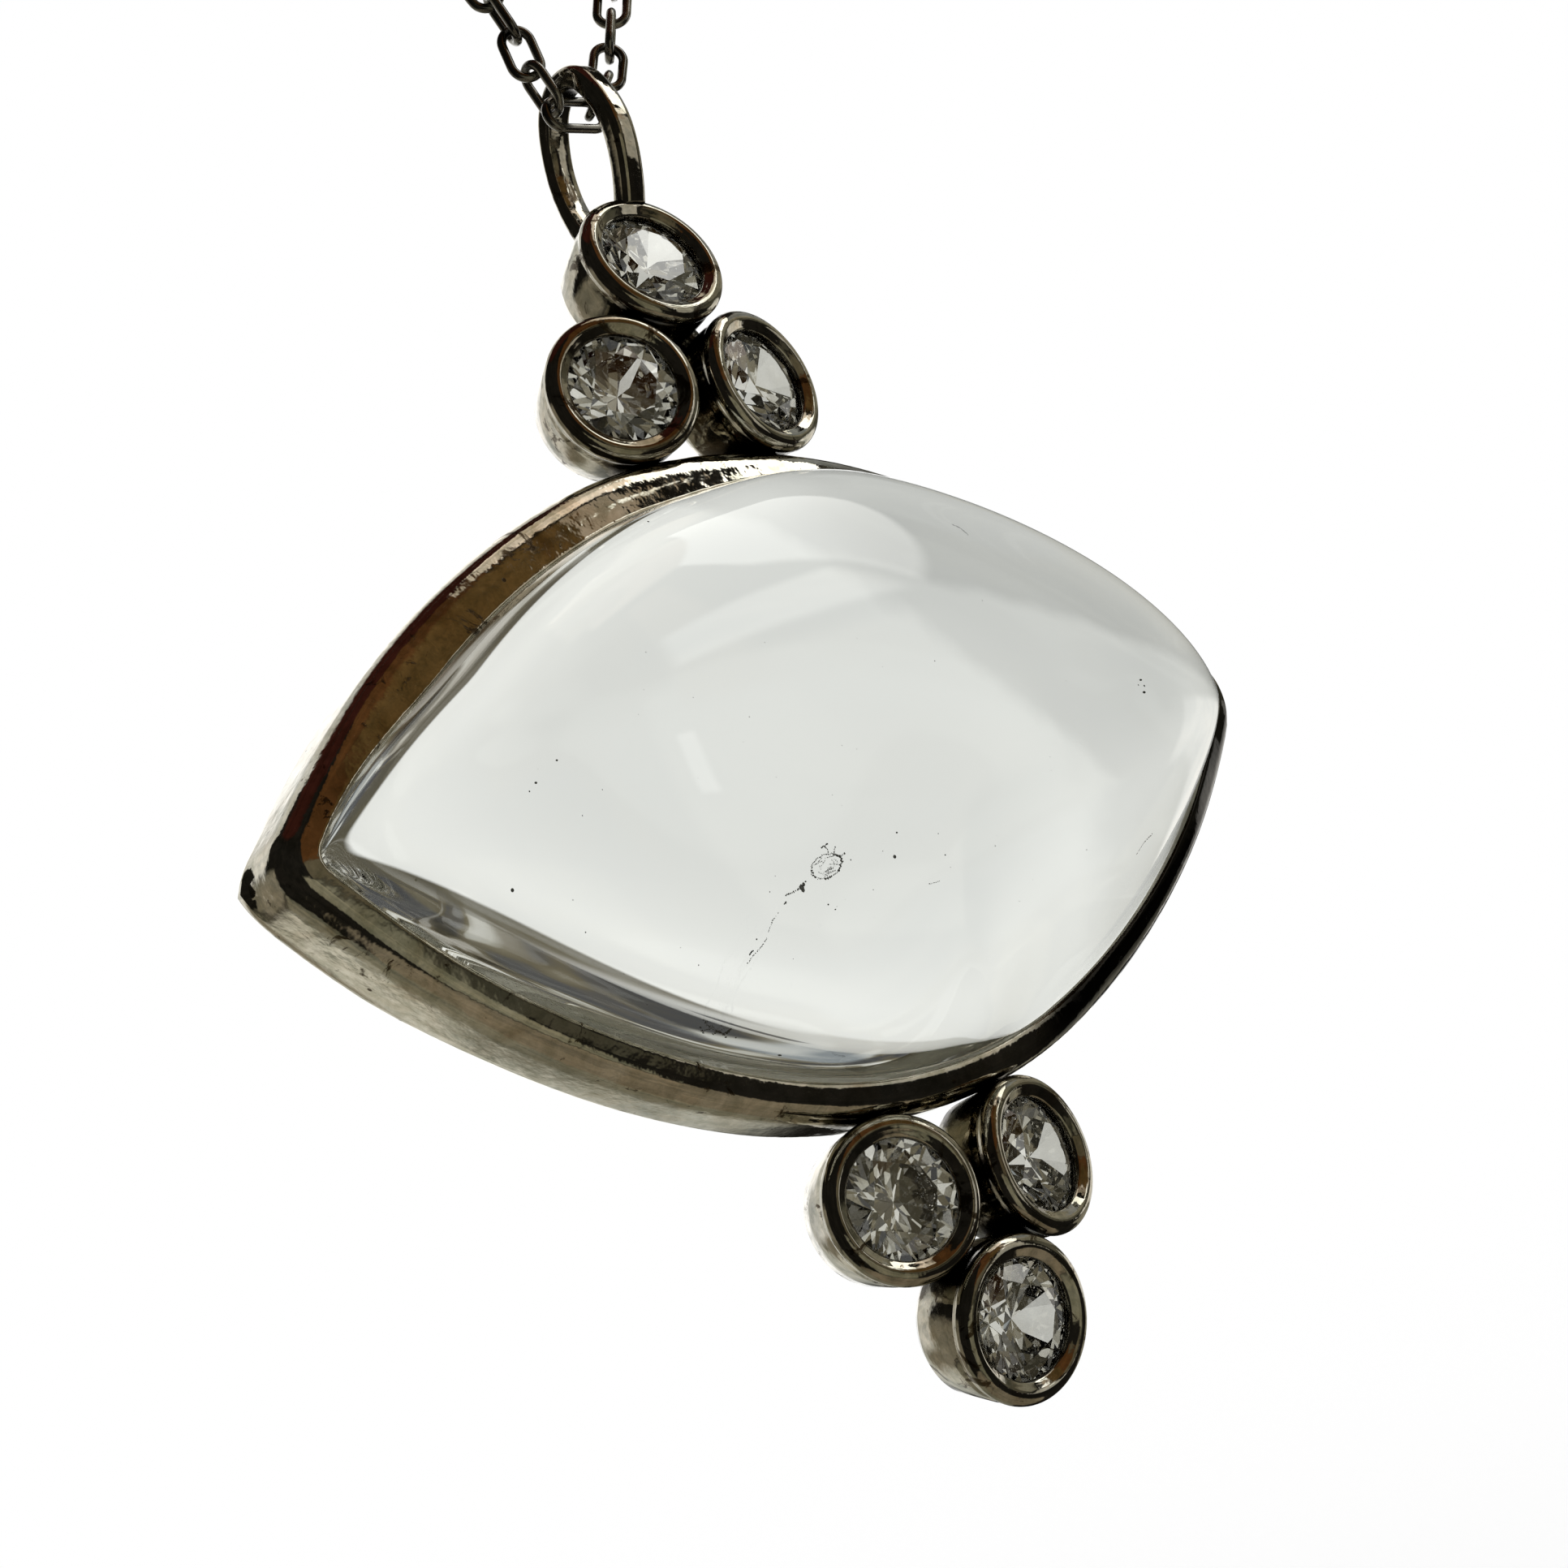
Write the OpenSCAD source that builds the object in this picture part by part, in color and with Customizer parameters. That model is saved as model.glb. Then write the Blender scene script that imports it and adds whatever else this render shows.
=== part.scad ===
// Pendant necklace: a clear boat-shaped quartz in an open-backed metal setting, three small faceted stones
// above it and three below, an oval bail, and a fine cable chain with a plain barrel clasp.
// Origin: the underside of the clasp, where the necklace hangs at the back of the neck.
// +Z is up, the front of the pendant faces -Y, and the loop of the chain lies in the plane Y = 0.

/* [Main stone] */
// Height of the visible stone at its middle
stone_h = 18.47; // [17:0.1:20]
// Radius of the outline's arc across the middle
arc_mid_r = 16.32; // [15.9:0.01:16.8]
// How much larger the radius of the arcs that run to the tips is
arc_more_r = 8.5; // [7.5:0.1:9.5]
// Rise of the polished dome in front of the metal lip
dome_rise = 3.5; // [2.5:0.1:4.5]
// Depth of the stone behind the lip
stone_depth = 2.3; // [1.8:0.1:2.5]

/* [Main bezel] */
// Width of the sloping front face, seen from the front
bezel_w = 1.02; // [0.8:0.01:1.2]
// Depth of the whole bezel, from lip to back edge
bezel_depth = 2.95; // [2.7:0.05:3.2]
// How far the ledge behind the stone reaches inwards
ledge_w = 0.6; // [0.3:0.1:1]

/* [Small stones] */
// Diameter of each small stone
gem_d = 3.6; // [3.2:0.1:3.6]
// Outer diameter of a small cup at its rim
cup_d = 4.76; // [4.6:0.02:4.9]
// Depth of a small cup
cup_depth = 2.6; // [2.3:0.1:2.8]
// Half the distance between the two cups of a pair
pair_x = 2.695; // [2.6:0.01:2.75]
// Height of the pair's centres from the middle of the main stone
pair_z = 12.38; // [12.3:0.01:12.42]
// Height of the outermost cup's centre from the middle of the main stone
tip_z = 16.59; // [16.4:0.01:16.7]
// Angle at which the cups of a pair look outwards
pair_turn = 13.5; // [10:0.5:16]
// Angle at which the outermost cups look up or down
tip_tilt = 12; // [8:0.5:15]

/* [Bail] */
// Height of the oval bail's opening
bail_h = 4.8; // [4.4:0.1:5.2]
// Front-to-back width of the bail's opening
bail_y = 2.92; // [2.7:0.02:3.1]
// Width of the bail's band, from side to side
bail_w = 0.84; // [0.7:0.01:0.86]
// Thickness of the bail's band
bail_t = 0.55; // [0.4:0.05:0.6]

/* [Chain] */
// Diameter of the links' wire
wire_d = 0.3; // [0.24:0.01:0.32]
// Outer width of a link
link_w = 1.25; // [1.2:0.01:1.3]
// Outer length of a link
link_l = 1.95; // [1.9:0.01:2]
// Outer length of the link that carries the bail
bail_link_l = 2.4; // [2.4:0.05:2.6]
// Diameter of the clasp's barrel
clasp_d = 3; // [2.4:0.1:3.4]
// Length of the clasp's barrel
clasp_l = 8; // [6:0.5:8]

/* [Hidden] */
$fn = 64;
fit_gap = 0.04;              // room between a stone and the metal round it
link_gap = 0.06;             // room between two wires where links meet
carry_z = -177;              // centre of the link that carries the bail
carry_drop = 22.3;           // that centre, above the middle of the main stone
bail_c = [0, 1.43, 20.65];   // centre of the bail, from the middle of the main stone
pendant_at = [0, -bail_c[1], carry_z - carry_drop];
silver = [0.62, 0.58, 0.52];
dark_metal = [0.25, 0.24, 0.24];
clear_stone = [0.88, 0.90, 0.90];

// Outline of the main stone: an arc across the middle, and an arc to each tip that meets it smoothly in
// the direction join_dir, whose two numbers are the sides of a right triangle with a long side of 1.
join_dir = [0.352, 0.936];
mid_c = [0, stone_h/2 - arc_mid_r];
tip_c = mid_c - arc_more_r*join_dir;
arc_tip_r = arc_mid_r + arc_more_r;

// Half height of the outline, moved outwards by off, at a distance x from the middle
function half_h(x, off) = abs(x) < (arc_mid_r + off)*join_dir[0]
    ? mid_c[1] + sqrt(pow(arc_mid_r + off, 2) - x*x)
    : tip_c[1] + sqrt(max(0, pow(arc_tip_r + off, 2) - pow(abs(x) - tip_c[0], 2)));
// Half length of the outline, moved outwards by off
function half_l(off) = tip_c[0] + sqrt(pow(arc_tip_r + off, 2) - pow(tip_c[1], 2));

// Cross-section of the main bezel: [distance outwards from the lip, height, with the front up]
back_r = 0.75;
bezel_section = concat(
    [[fit_gap/2, 0], [0.12, 0.03], [0.3, -0.02]],
    [for (a = [75 : -15 : 30]) [bezel_w*(0.3 + 0.66*cos(a)), -0.78 + 0.76*sin(a)]],
    [[bezel_w - 0.05, -0.68], [bezel_w, -0.8]],
    [for (a = [0 : 22.5 : 90]) [bezel_w - back_r*(1 - cos(a)), -bezel_depth + back_r*(1 - sin(a))]],
    [[-ledge_w, -bezel_depth], [-ledge_w, -stone_depth - 0.2], [fit_gap/2, -stone_depth - fit_gap]]);

// Cross-section of a small cup: [radius, height], with the front up; the lip is at height 0
gem_r = gem_d/2;
lip_r = gem_r + fit_gap;
cup_r = cup_d/2;
rim_r = (cup_r - lip_r)/2;
girdle_drop = 0.5;           // depth of a small stone's edge behind the lip
culet_drop = 2.1;            // depth of its point
cup_section = concat(
    [[0, -cup_depth], [cup_r - 0.5, -cup_depth], [cup_r - 0.22, -cup_depth + 0.35], [cup_r - 0.06, -0.85],
     [cup_r - 0.1, -0.68]],
    [for (a = [-45 : 22.5 : 180]) [lip_r + rim_r*(1 + cos(a)), -0.3 + 0.3*sin(a)]],
    [[lip_r, -0.4], [0, -0.4]]);
// What is cut from a cup: the stone's seat, a cone under it and an open back
seat_section = [[0, 1], [lip_r, 1], [lip_r, -girdle_drop - 0.16], [1.25, -1.45], [1.25, -cup_depth - 1],
                [0, -cup_depth - 1]];

// Places of the small cups: [x, y, z, turn about Z, tilt about X]
CUPS = [[-pair_x, 0, pair_z, -pair_turn, 0], [pair_x, 0, pair_z, pair_turn, 0], [0, -0.05, tip_z, 0, -tip_tilt],
        [-pair_x, 0, -pair_z, -pair_turn, 0], [pair_x, 0, -pair_z, pair_turn, 0],
        [0, -0.05, -tip_z, 0, tip_tilt]];

// The bail's opening as four arcs: small ones at the top and bottom, large ones at the sides
bail_end_r = 1.05;
bail_end_z = bail_h/2 - bail_end_r;
bail_side_r = (pow(bail_y/2, 2) + bail_end_z*bail_end_z - bail_end_r*bail_end_r)/(bail_y - 2*bail_end_r);
bail_side_a = asin(bail_end_z/(bail_side_r - bail_end_r));

// Chain links near the bail, from the bail upwards: [lean from the vertical, turn about the strand]
LEFT_LINKS = [[-20, 85], [-6, -20], [-20, 60], [-27, -35]];
RIGHT_LINKS = [[40, 80], [26, -20], [23.5, 60], [23.5, -35]];
bend_r = (link_w - wire_d)/2;
reach = (link_l - wire_d)/2;
carry_bend = (bail_link_l - link_w)/2;

// Route of each strand from the last loose link to the clasp: [x, z]
LEFT_ROUTE = [[-2.5, -171.3], [-14, -146], [-25, -121], [-36, -95.8], [-47.2, -70.5], [-50.8, -58.5],
              [-51.3, -45.5], [-48.4, -32.4], [-42.2, -20.5], [-33.1, -10.5], [-21.8, -3.2], [-12.5, 0.1],
              [-6.2, 1.4]];
RIGHT_ROUTE = [[3.5, -171.6], [14.2, -146.5], [25.2, -121.2], [36.2, -95.8], [47.2, -70.5], [50.8, -58.5],
               [51.3, -45.5], [48.4, -32.4], [42.2, -20.5], [33.1, -10.5], [21.8, -3.2], [12.5, 0.1],
               [6.2, 1.4]];
strand_sides = 8;
rings_per_span = 3;

// Moves a child from the pendant's own frame to where the pendant hangs
module on_pendant() { translate(pendant_at) children(); }

// Stands a shape drawn with its front up so that its front faces -Y
module facing() { rotate([90, 0, 0]) children(); }

module in_cup(c) {
    translate([c[0], c[1], c[2]]) rotate([c[4], 0, c[3]]) facing() children();
}

// The bezel's section swept along an arc of the outline, through angle sweep from where the arcs meet
module bezel_arc(centre, r, sweep) {
    translate(centre) rotate([0, 0, atan2(join_dir[1], join_dir[0])])
        rotate_extrude(angle = sweep, $fn = 180) translate([r, 0]) polygon(bezel_section);
}

// A quarter of the main bezel, cut off level at the tip and in the middle
module bezel_quarter() {
    past_middle = 25;
    past_tip = 40;
    difference() {
        union() {
            bezel_arc(mid_c, arc_mid_r, past_middle);
            bezel_arc(tip_c, arc_tip_r, -past_tip);
        }
        translate([-stone_h, -2*stone_h, -2*bezel_depth]) cube([4*stone_h, 2*stone_h, 4*bezel_depth]);
        translate([-2*stone_h, -stone_h, -2*bezel_depth]) cube([2*stone_h, 4*stone_h, 4*bezel_depth]);
    }
}

module bezel() {
    facing() for (a = [0, 1], b = [0, 1]) mirror([a, 0, 0]) mirror([0, b, 0]) bezel_quarter();
}

module cup_body(c) { in_cup(c) rotate_extrude() polygon(cup_section); }

module cup_seat(c) { in_cup(c) rotate_extrude() polygon(seat_section); }

// Small beads of solder: between the cups of each pair, and behind the outermost cups
module solder() {
    bead_r = 0.5;
    run = 1.2;               // length of the run between two cups of a pair
    run_y = 1.7;
    bead = [1.25, 1.5, 2.02];
    for (s = [-1, 1]) {
        translate([-run/2, run_y, s*(pair_z - 0.1)]) rotate([0, 90, 0]) cylinder(h = run, r = bead_r);
        for (t = [-1, 1]) translate([t*bead[0], bead[1], s*(pair_z + bead[2])]) sphere(r = bead_r);
    }
}

// Cross-section of the bail's band: flat inside, rounded outside; [distance from the opening, x]
module band_section() {
    edge_r = 0.24;
    polygon(concat([[0, -bail_w/2]],
        [for (a = [-90 : 22.5 : 0]) [bail_t - edge_r*(1 - cos(a)), -bail_w/2 + edge_r*(1 + sin(a))]],
        [for (a = [0 : 22.5 : 90]) [bail_t - edge_r*(1 - cos(a)), bail_w/2 - edge_r*(1 - sin(a))]],
        [[0, bail_w/2]]));
}

module bail_arc(centre, r, a0, sweep) {
    translate(centre) rotate([0, 0, a0]) rotate_extrude(angle = sweep, $fn = 96)
        translate([r, 0]) band_section();
}

module bail() {
    side_c = bail_y/2 - bail_side_r;
    translate(bail_c) rotate([90, 0, 90]) for (s = [0, 1]) mirror([0, s, 0]) {
        bail_arc([0, bail_end_z], bail_end_r, bail_side_a, 180 - 2*bail_side_a);
        for (t = [0, 1]) mirror([t, 0, 0]) bail_arc([side_c, 0], bail_side_r, 0, bail_side_a);
    }
}

module setting() {
    color(silver) on_pendant() difference() {
        union() {
            bezel();
            for (c = CUPS) cup_body(c);
            solder();
            bail();
        }
        for (c = CUPS) cup_seat(c);
    }
}

// The main stone: upright sections along its length, each a flat back, two straight sides and a domed front
module quartz() {
    sections = 48;
    front_steps = 16;
    tip_gap = 0.02;
    half = half_l(-fit_gap) - tip_gap;
    reach_x = 0.999;         // the end sections stop just short of the tips, so that they keep an area
    fullness = 2.5;          // 2 is a round dome, more is flatter on top and steeper at the edge
    function station(i) = -half*reach_x*cos(180*i/sections);
    function rise(x) = dome_rise*pow(max(0, 1 - pow(abs(x/half), 5)), 0.9);
    function front(x, w, t) = [x, -rise(x)*pow(max(0, cos(t)), 2/fullness),
                               w*sign(t)*pow(abs(sin(t)), 2/fullness)];
    rim = [for (i = [0 : sections]) let (x = station(i), w = max(0.01, half_h(x, -fit_gap)))
        concat([[x, stone_depth, w]],
               [for (k = [0 : front_steps]) front(x, w, 90 - 180*k/front_steps)],
               [[x, stone_depth, -w]])];
    n = front_steps + 3;
    points = [for (ring = rim) for (p = ring) p];
    faces = concat(
        [[for (k = [n - 1 : -1 : 0]) k]],
        [for (i = [0 : sections - 1]) for (k = [0 : n - 1])
            let (a = i*n + k, b = i*n + (k + 1)%n) [a, b, b + n, a + n]],
        [[for (k = [0 : n - 1]) sections*n + k]]);
    color(clear_stone, 0.5) on_pendant() polyhedron(points, faces, convexity = 4);
}

// A round brilliant with its girdle at height 0: a table, 8 stars, 8 kites and 16 facets round them above,
// 16 facets and 8 long mains below
module brilliant() {
    table = 0.56;
    star = 0.76;
    low = 0.25;
    crown = girdle_drop - 0.03;
    girdle = 0.05;
    depth = culet_drop - girdle_drop - girdle;
    mains = 8;
    half_turn = 180/mains;
    star_z = crown*(1 - star*cos(half_turn))/(1 - table);
    low_z = -girdle - depth*(1 - low*cos(half_turn));
    function spot(r, k, z) = [gem_r*r*cos(k*half_turn), gem_r*r*sin(k*half_turn), z];
    points = concat(
        [for (i = [0 : mains - 1]) spot(table, 2*i, crown)],
        [for (i = [0 : mains - 1]) spot(star, 2*i + 1, star_z)],
        [for (j = [0 : 2*mains - 1]) spot(1, j, 0)],
        [for (j = [0 : 2*mains - 1]) spot(1, j, -girdle)],
        [for (i = [0 : mains - 1]) spot(low, 2*i + 1, low_z)],
        [[0, 0, -girdle - depth]]);
    s0 = mains;              // first point of the stars, the upper girdle, the lower girdle and the mains
    u0 = 2*mains;
    l0 = 4*mains;
    p0 = 6*mains;
    culet = 7*mains;
    function m(i) = (i + mains)%mains;
    function g(j) = (j + 2*mains)%(2*mains);
    faces = concat(
        [[for (i = [mains - 1 : -1 : 0]) i]],
        [for (i = [0 : mains - 1]) [i, m(i + 1), s0 + i]],
        [for (i = [0 : mains - 1]) [i, s0 + i, u0 + g(2*i), s0 + m(i - 1)]],
        [for (i = [0 : mains - 1]) [s0 + i, u0 + g(2*i + 1), u0 + g(2*i)]],
        [for (i = [0 : mains - 1]) [s0 + i, u0 + g(2*i + 2), u0 + g(2*i + 1)]],
        [for (j = [0 : 2*mains - 1]) [u0 + j, u0 + g(j + 1), l0 + g(j + 1), l0 + j]],
        [for (i = [0 : mains - 1]) [l0 + g(2*i), l0 + g(2*i + 1), p0 + i]],
        [for (i = [0 : mains - 1]) [l0 + g(2*i + 1), l0 + g(2*i + 2), p0 + i]],
        [for (i = [0 : mains - 1]) [l0 + g(2*i), p0 + i, culet, p0 + m(i - 1)]]);
    polyhedron(points, faces, convexity = 4);
}

module gem(k) {
    color(clear_stone, 0.6) on_pendant() in_cup(CUPS[k]) translate([0, 0, -girdle_drop]) brilliant();
}

module gem_upper_left() { gem(0); }
module gem_upper_right() { gem(1); }
module gem_top() { gem(2); }
module gem_lower_left() { gem(3); }
module gem_lower_right() { gem(4); }
module gem_bottom() { gem(5); }

// One link of round wire, its length along Z and its width along X
module chain_link(length) {
    straight = length - link_w;
    color(dark_metal) rotate([90, 0, 0]) for (s = [0, 1]) mirror([0, s, 0]) {
        translate([0, straight/2]) rotate_extrude(angle = 180, $fn = 48)
            translate([bend_r, 0]) circle(d = wire_d, $fn = 24);
        for (t = [-1, 1]) translate([t*bend_r, 0]) rotate([-90, 0, 0])
            cylinder(h = straight/2, d = wire_d, $fn = 24);
    }
}

function lean_dir(a) = [sin(a), 0, cos(a)];
// Centre of link k of a strand: each link hangs in the bend of the one before it
function top_of(links, start, k) = centre_of(links, start, k) + reach*lean_dir(links[k][0]);
function centre_of(links, start, k) = k == 0
    ? start + (bend_r - wire_d - link_gap + reach)*lean_dir(links[0][0])
    : top_of(links, start, k - 1) + (reach - wire_d - link_gap)*lean_dir(links[k][0]);

module strand_link(links, side, k) {
    translate(centre_of(links, [side*carry_bend, 0, carry_z], k))
        rotate([0, links[k][0], 0]) rotate([0, 0, links[k][1]]) chain_link(link_l);
}

module link_carrier() { translate([0, 0, carry_z]) rotate([0, 90, 0]) chain_link(bail_link_l); }
module link_left_1() { strand_link(LEFT_LINKS, -1, 0); }
module link_left_2() { strand_link(LEFT_LINKS, -1, 1); }
module link_left_3() { strand_link(LEFT_LINKS, -1, 2); }
module link_left_4() { strand_link(LEFT_LINKS, -1, 3); }
module link_right_1() { strand_link(RIGHT_LINKS, 1, 0); }
module link_right_2() { strand_link(RIGHT_LINKS, 1, 1); }
module link_right_3() { strand_link(RIGHT_LINKS, 1, 2); }
module link_right_4() { strand_link(RIGHT_LINKS, 1, 3); }

// Smooth curve through a route's points: place at u, where whole numbers are the points
function clamped(route, i) = route[max(0, min(len(route) - 1, i))];
function curve_at(route, u) = let (i = min(floor(u), len(route) - 2), t = u - i,
        a = clamped(route, i - 1), b = clamped(route, i), c = clamped(route, i + 1), d = clamped(route, i + 2))
    0.5*(2*b + t*(c - a) + t*t*(2*a - 5*b + 4*c - d) + t*t*t*(3*b - a - 3*c + d));

// A strand of the chain as one round tube as thick as a link is wide
module strand(route) {
    last = (len(route) - 1)*rings_per_span;
    step = 0.01;
    points = [for (i = [0 : last])
        let (u = i/rings_per_span, p = curve_at(route, u),
             d = curve_at(route, min(len(route) - 1, u + step)) - curve_at(route, max(0, u - step)),
             side = [d[1], -d[0]]/norm(d))
        for (k = [0 : strand_sides - 1]) let (a = 360*(k + 0.5)/strand_sides, r = link_w/2)
            [p[0] + r*cos(a)*side[0], r*sin(a), p[1] + r*cos(a)*side[1]]];
    n = strand_sides;
    faces = concat(
        [[for (k = [0 : n - 1]) k]],
        [for (i = [0 : last - 1]) for (k = [0 : n - 1])
            let (a = i*n + k, b = i*n + (k + 1)%n) [a, a + n, b + n, b]],
        [[for (k = [n - 1 : -1 : 0]) last*n + k]]);
    color(dark_metal) polyhedron(points, faces, convexity = 10);
}

module chain_left() { strand(LEFT_ROUTE); }
module chain_right() { strand(RIGHT_ROUTE); }

// The clasp: a barrel with rounded ends and a ring at each end for the chain
module clasp() {
    end_r = 0.6;
    ring_r = 0.55;
    ring_wire = 0.4;
    color(dark_metal) translate([0, 0, clasp_d/2]) {
        rotate([0, 90, 0]) rotate_extrude() polygon(concat(
            [[0, -clasp_l/2]],
            [for (a = [-90 : 22.5 : 0]) [clasp_d/2 - end_r*(1 - cos(a)), -clasp_l/2 + end_r*(1 + sin(a))]],
            [for (a = [0 : 22.5 : 90]) [clasp_d/2 - end_r*(1 - cos(a)), clasp_l/2 - end_r*(1 - sin(a))]],
            [[0, clasp_l/2]]));
        for (s = [-1, 1]) translate([s*(clasp_l/2 + ring_r), 0, 0]) rotate([90, 0, 0])
            rotate_extrude($fn = 48) translate([ring_r, 0]) circle(d = ring_wire, $fn = 24);
    }
}

setting();
quartz();
gem_upper_left();
gem_upper_right();
gem_top();
gem_lower_left();
gem_lower_right();
gem_bottom();
link_carrier();
link_left_1();
link_left_2();
link_left_3();
link_left_4();
link_right_1();
link_right_2();
link_right_3();
link_right_4();
chain_left();
chain_right();
clasp();
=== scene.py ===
import math
import random

import bmesh
import bpy
import numpy as np
from mathutils import Matrix, Vector


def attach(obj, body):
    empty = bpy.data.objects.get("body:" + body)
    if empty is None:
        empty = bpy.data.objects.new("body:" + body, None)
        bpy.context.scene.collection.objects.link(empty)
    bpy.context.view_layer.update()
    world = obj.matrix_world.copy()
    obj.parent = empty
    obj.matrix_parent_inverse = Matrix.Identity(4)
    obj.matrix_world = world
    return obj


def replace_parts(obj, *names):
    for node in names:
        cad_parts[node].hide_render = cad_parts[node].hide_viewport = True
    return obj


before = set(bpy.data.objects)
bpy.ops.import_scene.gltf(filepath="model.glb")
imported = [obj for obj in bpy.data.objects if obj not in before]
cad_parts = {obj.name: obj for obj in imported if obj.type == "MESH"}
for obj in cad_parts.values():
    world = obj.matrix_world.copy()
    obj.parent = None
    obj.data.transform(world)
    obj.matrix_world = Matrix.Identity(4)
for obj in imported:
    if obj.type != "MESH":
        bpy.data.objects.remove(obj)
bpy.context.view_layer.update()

# The view
# The picture is taken from close by, from below the pendant's left side, with the camera rolled, so the
# pendant leans to the left in it.
MM = 0.001
CAMERA_AT = Vector((-44.915, -54.449, -212.496))
CAMERA_TURN = (101.3074, 18.7531, -35.3065)
LENS = 56.087
SENSOR = 36.0
NEAREST, FARTHEST = 5, 10000
# Enough for the light that goes round inside the stones
BOUNCES = 24

camera_data = bpy.data.cameras.new("camera")
camera_data.sensor_width = SENSOR
camera_data.lens = LENS
camera_data.clip_start = NEAREST*MM
camera_data.clip_end = FARTHEST*MM
camera = bpy.data.objects.new("camera", camera_data)
camera.location = CAMERA_AT*MM
camera.rotation_euler = [math.radians(a) for a in CAMERA_TURN]
bpy.context.scene.collection.objects.link(camera)
bpy.context.scene.camera = camera
bpy.context.scene.view_settings.view_transform = "Standard"
bpy.context.scene.cycles.max_bounces = BOUNCES
bpy.context.scene.cycles.transmission_bounces = BOUNCES
bpy.context.scene.cycles.glossy_bounces = BOUNCES

# The studio
# A pale backdrop and floor. What is seen past the pendant, or straight through its stones, is white or nearly
# so, and the polished metal and the stones' faces mirror a darker room with a window, a table and a wooden
# wall.


class Shader:
    """A node tree that is wired up in words: node() makes a node and sets or links its inputs.

    An input is named, with _ for a space, or numbered, as in2, where its name isn't the only one.
    """

    def __init__(self, tree):
        self.tree = tree
        tree.nodes.clear()

    def node(self, kind, settings=None, **inputs):
        made = self.tree.nodes.new(kind)
        for name, value in (settings or {}).items():
            setattr(made, name, value)
        for name, value in inputs.items():
            self.plug(made, name.replace("_", " "), value)
        return made

    def plug(self, made, socket, value):
        socket = made.inputs[int(socket[2:]) if socket.startswith("in") and socket[2:].isdigit() else socket]
        if isinstance(value, bpy.types.NodeSocket):
            self.tree.links.new(value, socket)
        elif isinstance(value, bpy.types.Node):
            self.tree.links.new(value.outputs[0], socket)
        else:
            socket.default_value = value

    def math(self, operation, a, b=0.0):
        return self.node("ShaderNodeMath", {"operation": operation}, in0=a, in1=b)

    def smooth(self, value, low, high, to_low=0.0, to_high=1.0):
        """An S-shaped step from to_low, where value is low, to to_high, where it is high."""
        return self.node("ShaderNodeMapRange", {"interpolation_type": "SMOOTHSTEP"}, in0=value, in1=low,
                         in2=high, in3=to_low, in4=to_high)

    def mix(self, factor, a, b, blend="MIX"):
        made = self.node("ShaderNodeMix", {"data_type": "RGBA", "blend_type": blend})
        self.plug(made, "in0", factor)
        self.plug(made, "in6", a)
        self.plug(made, "in7", b)
        return made.outputs[2]

    def ramp(self, value, stops):
        made = self.node("ShaderNodeValToRGB", Fac=value)
        elements = made.color_ramp.elements
        while len(elements) < len(stops):
            elements.new(0.5)
        for element, (position, colour) in zip(elements, stops):
            element.position = position
            element.color = colour
        return made.outputs[0]


PALE = (1, 1, 1, 1)
ROOM = (0.012, 0.011, 0.009, 1)
# What the metal and the stones' faces mirror: azimuth (0 is behind the pendant, 90 to its right) and half
# width, elevation and half height, softness, all in degrees, and colour. A later part covers an earlier one.
ROOM_PARTS = {
    "ceiling": (0, 200, 76, 16, 6, (0.035, 0.010, 0.007, 1)),
    "floor": (0, 200, -72, 21, 5, (0.20, 0.17, 0.12, 1)),
    "table_behind": (-16, 44, -42, 18, 8, (0.205, 0.195, 0.145, 1)),
    "table_glow": (5, 22, -17, 14, 12, (0.60, 0.60, 0.54, 1)),
    "wall_behind": (-30, 33, -2, 18, 8, (0.23, 0.21, 0.16, 1)),
    "backdrop": (12, 36, 28, 34, 8, (0.72, 0.72, 0.68, 1)),
    "backdrop_glow": (31, 20, 20, 29, 8, (1.3, 1.3, 1.28, 1)),
    "table_edge": (165, 8, -13, 5, 3, (0.05, 0.048, 0.034, 1)),
    "table_in_front": (-169, 20, -28, 21, 6, (0.22, 0.21, 0.15, 1)),
    "wooden_wall": (171, 17, 38, 25, 5, (0.085, 0.038, 0.013, 1)),
    "wall_edge": (155, 9, 30, 14, 7, (0.115, 0.069, 0.024, 1)),
    "doorway": (171, 14, 4, 9, 4, (0.11, 0.095, 0.06, 1)),
    "front_wall": (142, 8, 3, 18, 3, (0.5, 0.48, 0.42, 1)),
    "curtain": (143, 3, 31, 14, 2, (0.4, 0.33, 0.25, 1)),
    "skylight": (136, 16, 60, 12, 3, (1.15, 1.0, 0.85, 1)),
    "skylight_end": (154, 4, 57, 6, 4, (0.8, 0.7, 0.56, 1)),
    "window_sill": (139, 6, 27.5, 3.5, 2, (1.6, 1.6, 1.5, 1)),
    "side_wall": (94, 34, 23, 11, 6, (0.26, 0.245, 0.185, 1)),
    "side_wall_low": (96, 32, 3, 9, 6, (0.10, 0.095, 0.068, 1)),
    "side_light": (82, 22, -4, 9, 4, (0.9, 0.88, 0.82, 1)),
    "side_low": (76, 22, -19, 7, 4, (0.25, 0.24, 0.19, 1)),
    "side_high": (92, 24, 39, 9, 4, (0.28, 0.29, 0.28, 1)),
    "lamp": (122, 34, 65, 5, 4, (0.7, 0.62, 0.5, 1)),
    "slit": (147, 0.9, 11.5, 2.6, 0.8, (1.8, 1.8, 1.7, 1)),
}
# How the room's tones wander
MOTTLE = [(0.35, (0.72, 0.74, 0.76, 1)), (0.65, (1.25, 1.22, 1.2, 1))]
# A window, as the directions of its corners, and how soft its edges are
WINDOW = [(103, 55), (114, 62), (135, 48), (131.5, 25)]
WINDOW_SOFT = 1.5
DAYLIGHT = (2.3, 2.3, 2.2, 1)
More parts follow.
